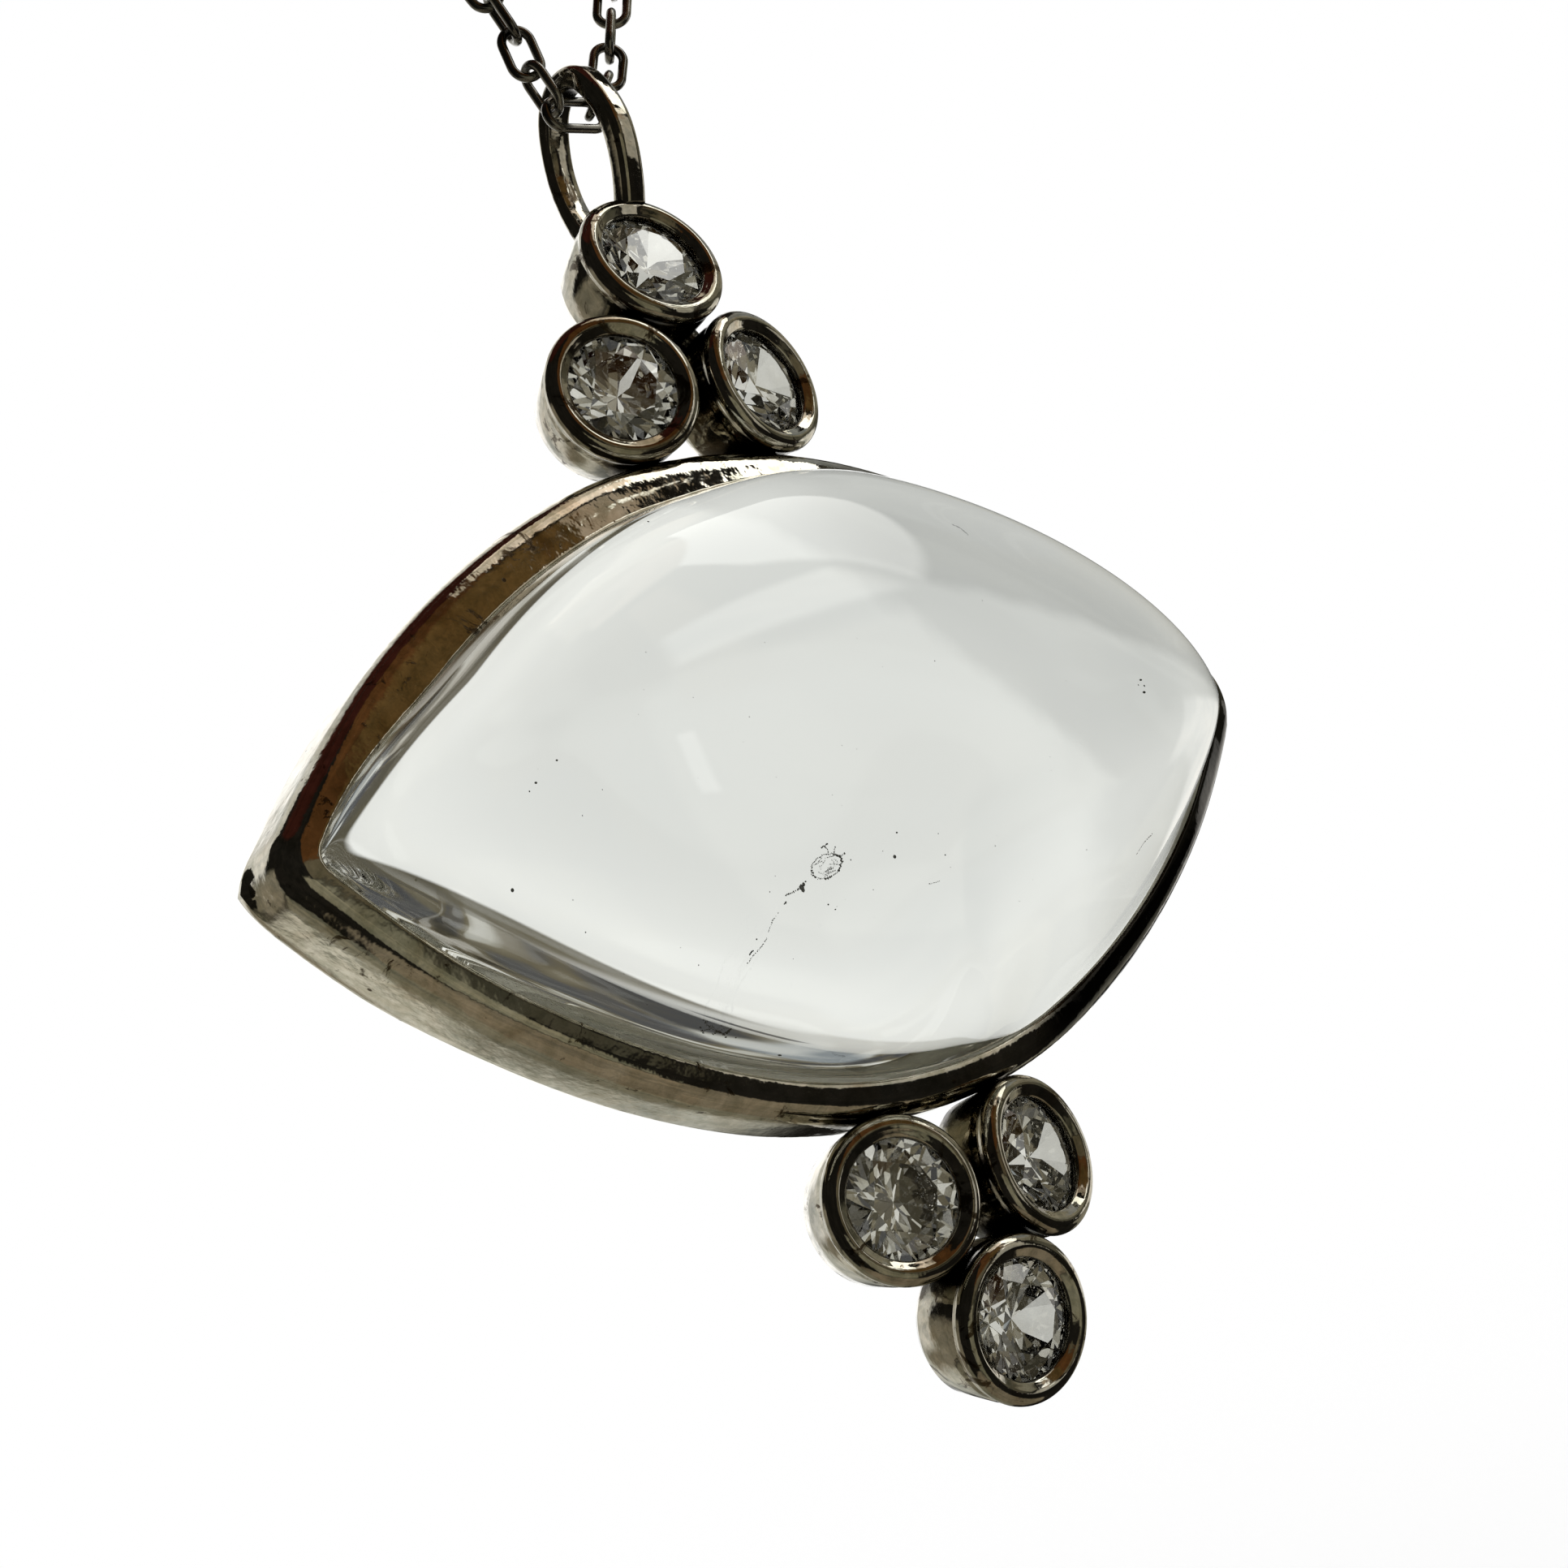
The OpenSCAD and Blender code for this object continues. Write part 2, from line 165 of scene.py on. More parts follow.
# What is seen straight through the stones: the backdrop, a little in shade round one place, a dark wall
# beside it, and above the wall a light place with a slate one in it, which show in the quartz's lower margin
SHADED = (40, 9)
SHADED_FROM, SHADED_TO = 0, 18
SHADE = (0.76, 0.772, 0.75, 1)
FAR = (0.93, 0.938, 0.905, 1)
BESIDE, DARK_WALL = (90, 25, 14, 44, 2.5), (0.11, 0.10, 0.07, 1)
OVER_WALL, OVER_WALL_LIGHT = (76, 16, 46.5, 15, 2.5), (0.70, 0.70, 0.66, 1)
SLATE_AT, SLATE = (74.6, 1.6, 34.8, 1.2, 0.8), (0.12, 0.125, 0.13, 1)
# What is seen through them by way of their inner faces: drifts of olive, slate and white, and places where
# they are darker or more blue
DRIFTS = [(0.38, (0.10, 0.102, 0.105, 1)), (0.43, (0.13, 0.125, 0.11, 1)), (0.46, (0.17, 0.15, 0.10, 1)),
          (0.52, (0.24, 0.215, 0.15, 1)), (0.55, (0.62, 0.61, 0.53, 1)), (0.7, (0.95, 0.95, 0.90, 1))]
DRIFT_SCALE = 4.0
IN_FRONT, IN_FRONT_DARK = (-142, 24, -8, 24, 12), (0.05, 0.045, 0.03, 1)
UP_THERE = (139, 13, 31, 9, 6)
UP_THERE_DRIFTS = [(0.44, (0.36, 0.40, 0.42, 1)), (0.56, (0.75, 0.77, 0.74, 1))]
LOW_BESIDE = (104, 22, -7, 11, 8)
LOW_BESIDE_DRIFTS = [(0.40, (0.035, 0.03, 0.018, 1)), (0.52, (0.15, 0.13, 0.085, 1)),
                     (0.60, (0.5, 0.48, 0.42, 1))]
DEEP_SLATE_AT, DEEP_SLATE = (120, 5, 26.5, 4, 3), (0.08, 0.083, 0.085, 1)


def studio_world():
    world = bpy.data.worlds.new("studio")
    bpy.context.scene.world = world
    world.use_nodes = True
    world.cycles.sampling_method = "NONE"
    s = Shader(world.node_tree)
    direction = s.node("ShaderNodeTexCoord").outputs["Generated"]
    along = s.node("ShaderNodeSeparateXYZ", Vector=direction).outputs
    azimuth = s.math("DEGREES", s.math("ARCTAN2", along["X"], along["Y"]))
    elevation = s.math("DEGREES", s.math("ARCSINE", along["Z"]))

    def off(angle, centre):
        turned = s.node("ShaderNodeMath", {"operation": "WRAP"}, in0=s.math("SUBTRACT", angle, centre),
                        in1=180.0, in2=-180.0)
        return s.math("ABSOLUTE", turned)

    def patch(az, az_half, el, el_half, soft):
        """1 in an upright rectangle of directions."""
        wide = s.smooth(off(azimuth, az), az_half - soft/2, az_half + soft/2, 1.0, 0.0)
        high = s.smooth(off(elevation, el), el_half - soft/2, el_half + soft/2, 1.0, 0.0)
        return s.math("MULTIPLY", wide, high)

    def pane(corners, soft):
        """1 inside the corners, which go round with the inside on their right."""
        inside = 1.0
        for (az0, el0), (az1, el1) in zip(corners, corners[1:] + corners[:1]):
            long = math.hypot(az1 - az0, el1 - el0)
            across = s.math("ADD", s.math("MULTIPLY", s.math("SUBTRACT", azimuth, az0), (el1 - el0)/long),
                            s.math("MULTIPLY", s.math("SUBTRACT", elevation, el0), (az0 - az1)/long))
            inside = s.math("MULTIPLY", inside, s.smooth(across, -soft/2, soft/2, 0.0, 1.0))
        return inside

    colour = ROOM
    for *place, tint in ROOM_PARTS.values():
        colour = s.mix(patch(*place), colour, tint)
    mottle = s.node("ShaderNodeTexNoise", Vector=direction, Scale=4.0, Detail=4.0, Roughness=0.6,
                    Distortion=0.5)
    colour = s.mix(1.0, colour, s.ramp(mottle.outputs["Fac"], MOTTLE), "MULTIPLY")
    colour = s.mix(pane(WINDOW, WINDOW_SOFT), colour, DAYLIGHT)
    away = s.math("SQRT", s.math("ADD", s.math("POWER", off(azimuth, SHADED[0]), 2.0),
                                 s.math("POWER", off(elevation, SHADED[1]), 2.0)))
    clear = s.mix(patch(*BESIDE), s.mix(s.smooth(away, SHADED_FROM, SHADED_TO), SHADE, FAR), DARK_WALL)
    clear = s.mix(patch(*SLATE_AT), s.mix(patch(*OVER_WALL), clear, OVER_WALL_LIGHT), SLATE)
    drift = s.node("ShaderNodeTexNoise", Vector=direction, Scale=DRIFT_SCALE, Detail=1.0,
                   Distortion=0.5).outputs["Fac"]
    deep = s.mix(patch(*IN_FRONT), s.ramp(drift, DRIFTS), IN_FRONT_DARK)
    deep = s.mix(patch(*UP_THERE), deep, s.ramp(drift, UP_THERE_DRIFTS))
    deep = s.mix(patch(*LOW_BESIDE), deep, s.ramp(drift, LOW_BESIDE_DRIFTS))
    deep = s.mix(patch(*DEEP_SLATE_AT), deep, DEEP_SLATE)
    path = s.node("ShaderNodeLightPath").outputs
    passed = s.mix(s.math("LESS_THAN", path["Glossy Depth"], 0.5), deep, clear)
    seen = s.math("MAXIMUM", path["Is Camera Ray"], path["Is Diffuse Ray"])
    shown = s.mix(seen, s.mix(path["Is Transmission Ray"], colour, passed), PALE)
    background = s.node("ShaderNodeBackground", Color=shown)
    s.node("ShaderNodeOutputWorld", Surface=background)


studio_world()

# The floor lies below the pendant, and neither the metal nor the stones show it
FLOOR_Z = -232.0
FLOOR_R = 900.0


def pale_floor():
    bm = bmesh.new()
    bmesh.ops.create_circle(bm, cap_ends=True, radius=FLOOR_R*MM, segments=96,
                            matrix=Matrix.Translation((0, 0, FLOOR_Z*MM)))
    mesh = bpy.data.meshes.new("floor")
    bm.to_mesh(mesh)
    bm.free()
    floor = bpy.data.objects.new("floor", mesh)
    bpy.context.scene.collection.objects.link(floor)
    material = bpy.data.materials.new("pale_floor")
    material.use_nodes = True
    s = Shader(material.node_tree)
    paint = s.node("ShaderNodeBsdfDiffuse", Color=PALE)
    s.node("ShaderNodeOutputMaterial", Surface=paint)
    mesh.materials.append(material)
    floor.visible_glossy = False
    floor.visible_transmission = False


pale_floor()

# The main bezel
# A band of silver bent to the stone's boat shape, open at the back. Its front slopes from a crisp ridge in to
# the lip that holds the stone, and its two halves are mitred and soldered at the tips. It was worked by hand,
# so its front is wider at the upper left, and its lip higher at the lower right.
PENDANT_AT = Vector((0, -1.43, -199.3))
# The stone's outline is an arc above and one below, which go over, where JOIN_DIR points from their centres,
# into flatter ones that run to the tips
STONE_H = 18.47
ARC_MID_R = 16.32
ARC_MORE_R = 8.5
JOIN_DIR = (0.352, 0.936)
TIP_R = 0.5
MIDDLE_STEPS, SIDE_STEPS, TIP_STEPS = 14, 38, 8

FIT_GAP = 0.04
BEZEL_W = 1.02
BEZEL_DEPTH = 2.95
LEDGE_W = 0.6
STONE_DEPTH = 2.3
BACK_R = 0.75

# On the lower right the front of the lip stands higher and reaches further over the stone. LIP_ALONG is where
# along X that starts, is full, wanes and ends.
LIP_UP, LIP_IN, LIP_FRONT = 0.30, 0.10, 0.4
LIP_ALONG = (3.5, 7.5, 13, 16.2)
# On the upper left the stone is cut smaller than the outline, and the band's front is as much wider: it moves
# in by TUCK up to TUCK_IN outside the outline, and not at all past TUCK_OUT
TUCK, TUCK_IN, TUCK_OUT = 0.54, 0.25, 0.95
TUCK_ALONG = (-16.4, -12, -3, 4)
# Past FILED_X the right tip is filed shorter and the left one is left longer
FILED_X, FILED, LONGER = 16.85, 0.6, 1.1
# The left tip's round back edge grows sharp from one distance from the middle to the other
SHARPER, SHARP_FROM, SHARP_TO = 0.8, 11, 15

mid_c = Vector((0, 0, STONE_H/2 - ARC_MID_R))
tip_c = mid_c - ARC_MORE_R*Vector((JOIN_DIR[0], 0, JOIN_DIR[1]))
arc_tip_r = ARC_MID_R + ARC_MORE_R


def steps(a, b, n):
    return [a + (b - a)*i/n for i in range(n + 1)]


def outline(out):
    """A quarter of the stone's outline, moved outwards by out, from its middle to its tip, as (x, z)."""
    join = math.atan2(*JOIN_DIR)
    tip_r = max(0.04, TIP_R + out)
    tip_x = tip_c.x + math.sqrt((arc_tip_r + out - tip_r)**2 - tip_c.z**2)
    end = math.atan2(tip_x - tip_c.x, -tip_c.z)
    arcs = [(mid_c.x, mid_c.z, ARC_MID_R + out, steps(0, join, MIDDLE_STEPS)[:-1]),
            (tip_c.x, tip_c.z, arc_tip_r + out, steps(join, end, SIDE_STEPS)[:-1]),
            (tip_x, 0, tip_r, steps(end, math.pi/2, TIP_STEPS))]
    return [(x + r*math.sin(a), z + r*math.cos(a)) for x, z, r, angles in arcs for a in angles]


def ease(value, low, high):
    """An S-shaped step from 0 at low to 1 at high."""
    t = min(1, max(0, (value - low)/(high - low)))
    return t*t*(3 - 2*t)


def between(value, start, full, waning, end):
    """0 up to start and from end on, and 1 from full to waning."""
    return ease(value, start, full)*ease(-value, -end, -waning)


def new_material(name):
    material = bpy.data.materials.new(name)
    material.use_nodes = True
    return material, Shader(material.node_tree)


def in_pendant(s, place):
    """The place in millimetres from the middle of the main stone, and the place's X, Y and Z."""
    within = s.node("ShaderNodeMapping", {"vector_type": "TEXTURE"}, Vector=place, Location=PENDANT_AT*MM,
                    Scale=(MM, MM, MM))
    return within, s.node("ShaderNodeSeparateXYZ", Vector=within).outputs


# The polished metal's tones, from the cleanest to the most yellowed, and those of its smudges, of the dirt in
# its pits and corners, and of the black painted on as a dark reflection
METAL_TONES = [(0.40, (0.80, 0.76, 0.67)), (0.60, (0.70, 0.64, 0.53)), (0.75, (0.54, 0.44, 0.32))]
SMUDGES = [(0.35, (0.66, 0.68, 0.64, 1)), (0.6, (1, 1, 1, 1))]
DIRT = (0.10, 0.075, 0.045, 1)
PAINTED_DARK_REFLECTION = (0.03, 0.028, 0.025, 1)


def worn_and_shaded_silver(name, shade, stain, alone=False, blacker=None):
    """Silver, polished by hand and tarnished since: warm, with ragged dark patches, and painted shade, nearly
    black, in corners.

    shade darkens it all over as painted shade, a lower stain gives more patches, alone leaves out the corners
    that it makes with other pieces, and blacker makes the nodes that say where black is painted as a dark
    reflection.
    """
    material, s = new_material(name)
    place = s.node("ShaderNodeTexCoord").outputs["Object"]
    tone = s.node("ShaderNodeTexNoise", Vector=place, Scale=520.0, Detail=5.0, Roughness=0.6, Distortion=0.8)
    blotch = s.node("ShaderNodeTexNoise", Vector=place, Scale=850.0, Detail=8.0, Roughness=0.7,
                    Distortion=1.0)
    fine = s.node("ShaderNodeTexNoise", Vector=place, Scale=2600.0, Detail=3.0)
    pits = s.node("ShaderNodeTexVoronoi", Vector=place, Scale=800.0)
    clean = s.ramp(tone.outputs["Fac"], [(at, [shade*c for c in tint] + [1]) for at, tint in METAL_TONES])
    corner = s.node("ShaderNodeAmbientOcclusion", {"samples": 8, "only_local": alone},
                    Distance=0.9*MM).outputs["AO"]
    gathered = s.math("ADD", blotch.outputs["Fac"], s.smooth(corner, 0.3, 0.95, 0.13, 0.0))
    dirt = s.math("MAXIMUM", s.smooth(gathered, stain, stain + 0.06),
                  s.smooth(pits.outputs["Distance"], 0.04, 0.07, 1.0, 0.0))
    smudge = s.node("ShaderNodeTexNoise", Vector=place, Scale=1800.0, Detail=5.0, Roughness=0.65,
                    Distortion=0.5)
    clean = s.mix(1.0, clean, s.ramp(smudge.outputs["Fac"], SMUDGES), "MULTIPLY")
    stained = s.mix(dirt, clean, DIRT)
    # Painted shade: the colour darkens to a tenth in corners that the ambient occlusion finds closed in
    dark = s.smooth(corner, 0.25, 0.85, 0.10, 1.0)
    painted_corner_shade = s.node("ShaderNodeCombineColor", Red=dark, Green=dark, Blue=dark)
    colour = s.mix(1.0, stained, painted_corner_shade, "MULTIPLY")
    # Painted dark reflection: black painted on where blacker says, as of a dark room mirrored there
    if blacker:
        colour = s.mix(blacker(s, place), colour, PAINTED_DARK_REFLECTION)
    rough = s.math("ADD", s.smooth(fine.outputs["Fac"], 0.3, 0.7, 0.03, 0.08), s.math("MULTIPLY", dirt, 0.2))
    wave = s.node("ShaderNodeTexNoise", Vector=place, Scale=450.0, Detail=1.0)
    ripple = s.node("ShaderNodeTexNoise", Vector=place, Scale=1400.0, Detail=3.0, Roughness=0.5)
    hammered = s.node("ShaderNodeBump", Strength=0.25, Distance=0.08*MM, Height=wave.outputs["Fac"])
    uneven = s.node("ShaderNodeBump", Strength=0.4, Distance=0.05*MM, Height=ripple.outputs["Fac"],
                    Normal=hammered)
    scratched = s.node("ShaderNodeBump", Strength=0.15, Distance=0.004*MM, Height=fine.outputs["Fac"],
                       Normal=uneven)
    metal = s.node("ShaderNodeBsdfPrincipled", Base_Color=colour, Metallic=1.0, Roughness=rough,
                   Normal=scratched)
    s.node("ShaderNodeOutputMaterial", Surface=metal)
    return material


def dull_silver():
    """Silver as it came from the file, unpolished, inside the seat under the stone."""
    material, s = new_material("dull_silver")
    place = s.node("ShaderNodeTexCoord").outputs["Object"]
    grain = s.node("ShaderNodeTexNoise", Vector=place, Scale=1500.0, Detail=3.0)
    colour = s.ramp(grain.outputs["Fac"], [(0.3, (0.70, 0.69, 0.62, 1)), (0.7, (0.85, 0.84, 0.78, 1))])
    metal = s.node("ShaderNodeBsdfPrincipled", Base_Color=colour, Metallic=1.0, Roughness=0.35)
    s.node("ShaderNodeOutputMaterial", Surface=metal)
    return material


# How far back from the lip the painted dark reflection reaches, up to the first X and from the second X on
DARK_REFLECTION_X, DARK_REFLECTION_DEPTH = (6, 13), (0.42, 1.8)


def along_lower_right(s, place):
    """1 where black is painted on as a dark reflection: the main bezel's front, on its lower right side and
    its right tip.
    """
    at = in_pendant(s, place)[1]
    reach = s.smooth(at["X"], *DARK_REFLECTION_X, *DARK_REFLECTION_DEPTH)
    front = s.smooth(s.math("SUBTRACT", at["Y"], reach), -0.12, 0.12, 1.0, 0.0)
    low_right = s.math("MULTIPLY", s.smooth(at["X"], 2.5, 5.5), s.smooth(at["Z"], -1.0, 1.0, 1.0, 0.6))
    return s.math("MULTIPLY", front, low_right)


silver = worn_and_shaded_silver("worn_and_shaded_silver", 1.0, 0.60)
bezel_silver = worn_and_shaded_silver("bezel_silver", 1.0, 0.60, alone=True, blacker=along_lower_right)


def piece_of(bm, name, material, body, at=PENDANT_AT, sharp=50.0):
    """Makes a piece of a shape drawn in millimetres, smooth but for edges that turn by more than sharp."""
    bmesh.ops.remove_doubles(bm, verts=bm.verts, dist=0.0005)
    bmesh.ops.recalc_face_normals(bm, faces=bm.faces)
    bmesh.ops.translate(bm, verts=bm.verts, vec=at)
    bmesh.ops.scale(bm, verts=bm.verts, vec=(MM, MM, MM))
    for face in bm.faces:
        face.smooth = True
    for edge in bm.edges:
        edge.smooth = edge.calc_face_angle(0) < math.radians(sharp)
    mesh = bpy.data.meshes.new(name)
    bm.to_mesh(mesh)
    bm.free()
    mesh.materials.append(material)
    piece = bpy.data.objects.new(name, mesh)
    bpy.context.scene.collection.objects.link(piece)
    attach(piece, body)
    return piece


def closed_loop(bm, points):
    verts = [bm.verts.new(p) for p in points]
    edges = [bm.edges.new((a, b)) for a, b in zip(verts, verts[1:] + verts[:1])]
    return verts + edges


def wave_of(degrees):
    """Cosine and sine, with which the corners of the sections are rounded."""
    return math.cos(math.radians(degrees)), math.sin(math.radians(degrees))


def to_middle(at):
    """The way from a place near the outline to its arc's centre, and how far outside the outline it is."""
    side_x, side_z = math.copysign(1, at.x), math.copysign(1, at.z)
    centre, r = (mid_c, ARC_MID_R) if abs(at.x) < ARC_MID_R*JOIN_DIR[0] else (tip_c, arc_tip_r)
    way = Vector((side_x*centre.x - at.x, 0, side_z*centre.z - at.z))
    return way.normalized(), way.length - r


def bezel_section():
    """Corners of the band's section: (distance outwards from the lip, height), with the front up."""
    points = [(FIT_GAP/2, -0.02), (0.04, 0.01), (0.08, 0.028), (0.12, 0.03), (0.18, 0.022), (0.24, 0.003)]
    points += [(BEZEL_W*(0.3 + 0.66*c), -0.78 + 0.76*s) for c, s in map(wave_of, steps(75, 30, 9))]
    points += [(BEZEL_W - 0.065, -0.55), (BEZEL_W - 0.04, -0.62), (BEZEL_W - 0.015, -0.71), (BEZEL_W, -0.8),
               (BEZEL_W, -1.2), (BEZEL_W, -1.7)]
    points += [(BEZEL_W - BACK_R*(1 - c), -BEZEL_DEPTH + BACK_R*(1 - s))
               for c, s in map(wave_of, steps(0, 90, 12))]
    points += [(-0.1, -BEZEL_DEPTH), (-LEDGE_W + 0.08, -BEZEL_DEPTH), (-LEDGE_W + 0.02, -BEZEL_DEPTH + 0.02),
               (-LEDGE_W, -BEZEL_DEPTH + 0.08), (-LEDGE_W, -STONE_DEPTH - 0.2),
               (FIT_GAP/2, -STONE_DEPTH - FIT_GAP), (FIT_GAP/2, -1.5), (FIT_GAP/2, -0.7)]
    return points


def main_bezel():
    """The section swept along a quarter of the outline, mirrored twice, and then made uneven."""
    section = bezel_section()
    outlines = [outline(out) for out, _ in section]
    around, along = len(section), len(outlines[0]) - 1
    bm = bmesh.new()
    bmesh.ops.create_grid(bm, x_segments=around, y_segments=along, size=1)
    for face in bm.faces:
        k = int((face.calc_center_median().x + 1)/2*around)
        seat = max(section[k][0], section[(k + 1) % around][0]) < FIT_GAP and section[k][1] < 0
        face.material_index = 1 if seat else 0
    for v in bm.verts:
        k = round((v.co.x + 1)/2*around) % around
        x, z = outlines[k][round((v.co.y + 1)/2*along)]
        v.co = (x, -section[k][1], z)
    bmesh.ops.remove_doubles(bm, verts=bm.verts, dist=0.0001)
    for axis in "XZ":
        bmesh.ops.mirror(bm, geom=bm.verts[:] + bm.edges[:] + bm.faces[:], matrix=Matrix.Identity(4),
                         merge_dist=0.001, axis=axis)
    for v in bm.verts:
        inwards, out = to_middle(v.co)
        if v.co.z < 0:
            lifted = ease(-v.co.y, -LIP_FRONT, -0.01)*between(v.co.x, *LIP_ALONG)
            v.co += lifted*(LIP_IN*inwards + Vector((0, -LIP_UP, 0)))
        else:
            v.co += TUCK*between(v.co.x, *TUCK_ALONG)*ease(-out, -TUCK_OUT, -TUCK_IN)*inwards
        if v.co.y > BEZEL_DEPTH - BACK_R + 0.01 and out > 0:
            apart = Vector((inwards.x, 0, inwards.z*min(1, abs(v.co.z))))
            v.co -= SHARPER*max(0, BEZEL_W - out)*ease(-v.co.x, SHARP_FROM, SHARP_TO)*apart
        if v.co.x > FILED_X:
            v.co.x = FILED_X + (v.co.x - FILED_X)*FILED
        if v.co.x < -FILED_X:
            v.co.x = -FILED_X + (v.co.x + FILED_X)*LONGER
    made = piece_of(bm, "main_bezel", bezel_silver, "pendant")
    made.data.materials.append(dull_silver())
    return made


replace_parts(main_bezel(), "setting")

# The small cups
# Six tube settings, turned from silver and open at the back, each with a round rim burnished over its stone.
# They look a little outwards, away from the main stone's middle.
GEM_D = 3.6
CUP_D = 4.76
CUP_DEPTH = 2.6
LIP_R = GEM_D/2 + FIT_GAP
CUP_R = CUP_D/2
CUP_BORE_R = 1.25
GIRDLE_DROP = 0.5
RIM_EDGE_R = 0.36
# How far the lip reaches over the stone past its seat
LIP_OVER = 0.15
PAIR_X, PAIR_Z, TIP_Z = 2.695, 12.38, 16.59
PAIR_TURN, TIP_TILT = 13.5, 12.0
# Name, place, turn about Z and tilt about X of each cup
CUPS = [
    ("upper_left", (-PAIR_X, 0, PAIR_Z), -PAIR_TURN, 0),
    ("upper_right", (PAIR_X, 0, PAIR_Z), PAIR_TURN, 0),
    ("top", (0, -0.05, TIP_Z), 0, -TIP_TILT),
    ("lower_left", (-PAIR_X, 0, -PAIR_Z), -PAIR_TURN, 0),
    ("lower_right", (PAIR_X, 0, -PAIR_Z), PAIR_TURN, 0),
    ("bottom", (0, -0.05, -TIP_Z), 0, TIP_TILT),
]

# The cups and the bail share a darker copy of the silver, 0.82 times as light: painted shade, with more
# tarnish patches
shaded_cup_silver = worn_and_shaded_silver("shaded_cup_silver", 0.82, 0.57)


def cup_section():
    """Corners of half a cup's section: (radius, height), with the front up and the lip at height 0."""
    points = [(CUP_BORE_R, -CUP_DEPTH), (CUP_R - 0.5, -CUP_DEPTH), (CUP_R - 0.4, -CUP_DEPTH + 0.05),
              (CUP_R - 0.22, -CUP_DEPTH + 0.35), (CUP_R - 0.14, -1.6), (CUP_R - 0.07, -0.95),
              (CUP_R - 0.07, -0.8), (CUP_R - 0.09, -0.7), (CUP_R - 0.09, -0.6)]
    points += [(CUP_R - 0.004 - RIM_EDGE_R*(1 - c), -RIM_EDGE_R*(1 - s))
               for c, s in map(wave_of, steps(-30, 95, 18))]
    lip = LIP_R - LIP_OVER
    points += [(lip + 0.22, -0.05), (lip + 0.12, -0.11), (lip + 0.06, -0.14), (lip + 0.02, -0.17),
               (lip, -0.21), (lip, -0.27), (lip, -0.34), (lip + 0.05, -0.4), (LIP_R, -0.44),
               (LIP_R, -GIRDLE_DROP - 0.16), (CUP_BORE_R, -1.45), (CUP_BORE_R, -2.0)]
    return points


def small_cup(name, place, turn, tilt):
    bm = bmesh.new()
    loop = closed_loop(bm, [(r, 0, up) for r, up in cup_section()])
    bmesh.ops.spin(bm, geom=loop, cent=(0, 0, 0), axis=(0, 0, 1), angle=math.tau, steps=96, use_merge=True)
    to_pendant = (Matrix.Translation(place) @ Matrix.Rotation(math.radians(turn), 4, "Z")
                  @ Matrix.Rotation(math.radians(tilt), 4, "X") @ Matrix.Rotation(math.radians(90), 4, "X"))
    bmesh.ops.transform(bm, matrix=to_pendant, verts=bm.verts)
    return piece_of(bm, "cup_" + name, shaded_cup_silver, "pendant")


for name, place, turn, tilt in CUPS:
    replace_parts(small_cup(name, place, turn, tilt), "setting")

# The solder
# Small runs of silver solder, where the cups of a pair meet and where each outermost cup sits on its pair.
BEAD_R = 0.5
# How far behind the front a pair's run of solder lies, and how much longer it is than a bead
RUN_Y, RUN_LONG = 1.7, 1.5
# A bead's place beside the middle, behind the front and beyond the pair's centres
BEAD_X, BEAD_Y, BEAD_Z = 1.25, 1.5, 2.02


def solder():
    bm = bmesh.new()
    for side in (-1, 1):
        spots = [(0, RUN_Y, side*(PAIR_Z - 0.1), RUN_LONG)]
        spots += [(t*BEAD_X, BEAD_Y, side*(PAIR_Z + BEAD_Z), 1.0) for t in (-1, 1)]
        for x, y, z, stretch in spots:
            at = Matrix.Translation((x, y, z)) @ Matrix.Diagonal((stretch, 1, 1, 1))
            bmesh.ops.create_icosphere(bm, subdivisions=3, radius=BEAD_R, matrix=at)
    return piece_of(bm, "solder", silver, "pendant")


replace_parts(solder(), "setting")

# The bail
# An oval ring of half-round silver band, soldered on edge to the top cup, behind it and on its rim, with the
# chain through it.
BAIL_C = (0, 1.43, 20.65)
BAIL_H, BAIL_Y, BAIL_W, BAIL_T = 4.8, 2.92, 0.84, 0.70
BAIL_EDGE_R = 0.24
BAIL_END_R = 1.05
# The part of its thickness that is left at the back, where it is worn
BAIL_BACK = 0.78
# From a little above its middle down, its front bends back to the top cup's rim, and it is filed off where it
# meets the cup
BAIL_FOOT_Z = 18.6
BAIL_BEND = Vector((0.25, 0.45, 0))
BEND_STARTS, BEND_OVER = 0.8, 2.8


def bail_section():
    """Corners of the band's section: (distance from the opening, distance across), rounded on the outside."""
    out = [(BAIL_T - BAIL_EDGE_R*(1 - c), BAIL_W/2 - BAIL_EDGE_R*(1 - s))
           for c, s in map(wave_of, steps(0, 90, 8))]
    inner = 0.08
    half = [(BAIL_T, 0)] + out
    half += [(inner, BAIL_W/2), (inner*0.3, BAIL_W/2 - inner*0.3), (0, BAIL_W/2 - inner)]
    return half + [(o, -w) for o, w in reversed(half[1:])]


